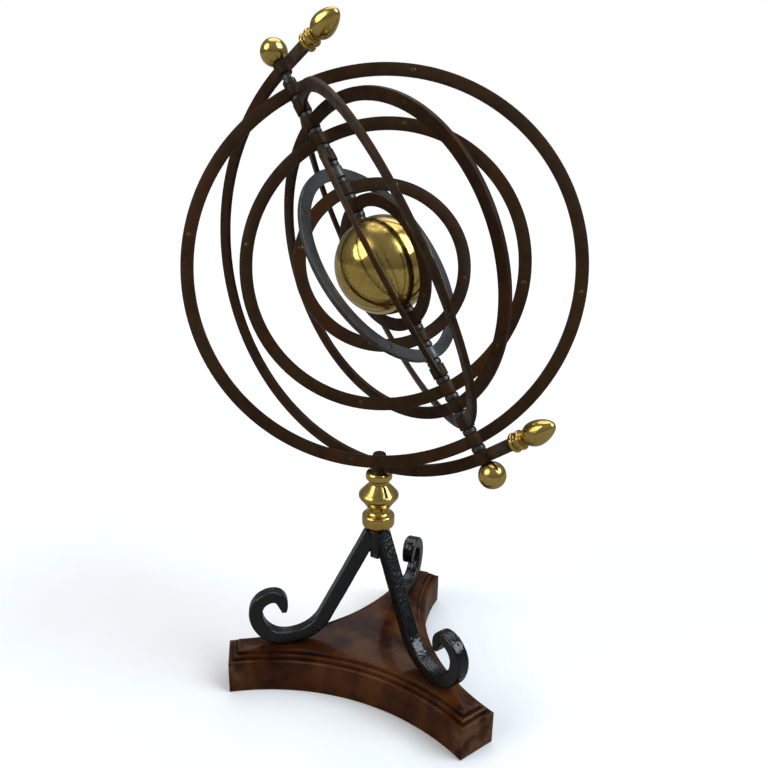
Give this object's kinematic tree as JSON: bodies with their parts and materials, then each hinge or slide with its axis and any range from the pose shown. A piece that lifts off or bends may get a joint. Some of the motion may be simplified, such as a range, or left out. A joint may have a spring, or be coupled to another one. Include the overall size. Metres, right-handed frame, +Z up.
{
  "type": "armillary sphere",
  "caption": "Armillary sphere: nested iron rings turning on a tilted rod about a brass ball, in a half-ring arm on a turned stem, scroll legs and a wooden base.",
  "frame": {"origin": "centre of the wooden base's underside, under the stem's axis", "axes": "+Z up; the meridian arm and the polar rod lie in the XZ plane, the rod's low end towards +X"},
  "size_m": [0.424, 0.3043, 0.7152],
  "materials": {
    "mahogany": "polished red-brown mahogany",
    "wrought_iron": "gloss black hammered wrought iron",
    "ring_iron": "dark brown patinated iron",
    "dark_steel": "dull dark steel",
    "brass": "polished brass, lightly tarnished",
    "rivet_brass": "tarnished brass, flush"
  },
  "bodies": {
    "stand": {"wooden_base": "mahogany", "leg_front": "wrought_iron", "leg_rear": "wrought_iron", "leg_left": "wrought_iron", "leg_screws": "dark_steel", "leg_hub": "wrought_iron", "hub_nut": "dark_steel", "brass_stem": "brass", "stem_washer": "dark_steel", "cap_nut": "dark_steel", "tie_rod": "dark_steel"},
    "arm": {"meridian_arm": "ring_iron", "polar_rod": "dark_steel", "upper_ball_finial": "brass", "upper_acorn_finial": "brass", "lower_ball_finial": "brass", "lower_acorn_finial": "brass", "lower_collar_1": "dark_steel", "upper_collar_1": "dark_steel", "lower_collar_2": "dark_steel", "upper_collar_2": "dark_steel", "lower_collar_3": "dark_steel", "upper_collar_3": "dark_steel", "lower_collar_4": "dark_steel", "upper_collar_4": "dark_steel", "lower_collar_5": "dark_steel", "upper_collar_5": "dark_steel", "lower_collar_6": "dark_steel", "upper_collar_6": "dark_steel", "lower_collar_7": "dark_steel", "upper_collar_7": "dark_steel", "lower_collar_8": "dark_steel", "upper_collar_8": "dark_steel", "lower_collar_9": "dark_steel", "upper_collar_9": "dark_steel"},
    "ring_1_body": {"ring_1": "ring_iron", "ring_1_rivets": "rivet_brass"},
    "ring_2_body": {"ring_2": "ring_iron", "ring_2_rivets": "rivet_brass"},
    "ring_3_body": {"ring_3": "ring_iron", "ring_3_rivets": "rivet_brass"},
    "ring_4_body": {"ring_4": "ring_iron", "ring_4_rivets": "rivet_brass"},
    "ring_5_body": {"ring_5": "ring_iron", "ring_5_rivets": "rivet_brass"},
    "ring_6_body": {"ring_6": "ring_iron", "ring_6_rivets": "rivet_brass"},
    "ring_7_body": {"ring_7": "ring_iron", "ring_7_rivets": "rivet_brass"},
    "ring_8_body": {"ring_8": "ring_iron", "ring_8_rivets": "rivet_brass"},
    "ball": {"brass_ball": "brass", "ball_bushes": "brass"}
  },
  "joints": [
    {"name": "arm_swivel", "type": "hinge", "parent": "stand", "child": "arm", "pos_m": [0, 0, 0.26], "axis": [0, 0, 1], "continuous": true},
    {"name": "ring_1_turn", "type": "hinge", "parent": "arm", "child": "ring_1_body", "pos_m": [0, 0, 0.4795], "axis": [-0.5764, 0, 0.8171], "continuous": true},
    {"name": "ring_2_turn", "type": "hinge", "parent": "arm", "child": "ring_2_body", "pos_m": [0, 0, 0.4795], "axis": [-0.5764, 0, 0.8171], "continuous": true},
    {"name": "ring_3_turn", "type": "hinge", "parent": "arm", "child": "ring_3_body", "pos_m": [0, 0, 0.4795], "axis": [-0.5764, 0, 0.8171], "continuous": true},
    {"name": "ring_4_turn", "type": "hinge", "parent": "arm", "child": "ring_4_body", "pos_m": [0, 0, 0.4795], "axis": [-0.5764, 0, 0.8171], "continuous": true},
    {"name": "ring_5_turn", "type": "hinge", "parent": "arm", "child": "ring_5_body", "pos_m": [0, 0, 0.4795], "axis": [-0.5764, 0, 0.8171], "continuous": true},
    {"name": "ring_6_turn", "type": "hinge", "parent": "arm", "child": "ring_6_body", "pos_m": [0, 0, 0.4795], "axis": [-0.5764, 0, 0.8171], "continuous": true},
    {"name": "ring_7_turn", "type": "hinge", "parent": "arm", "child": "ring_7_body", "pos_m": [0, 0, 0.4795], "axis": [-0.5764, 0, 0.8171], "continuous": true},
    {"name": "ring_8_turn", "type": "hinge", "parent": "arm", "child": "ring_8_body", "pos_m": [0, 0, 0.4795], "axis": [-0.5764, 0, 0.8171], "continuous": true},
    {"name": "ball_spin", "type": "hinge", "parent": "arm", "child": "ball", "pos_m": [0, 0, 0.4795], "axis": [-0.5764, 0, 0.8171], "continuous": true}
  ]
}
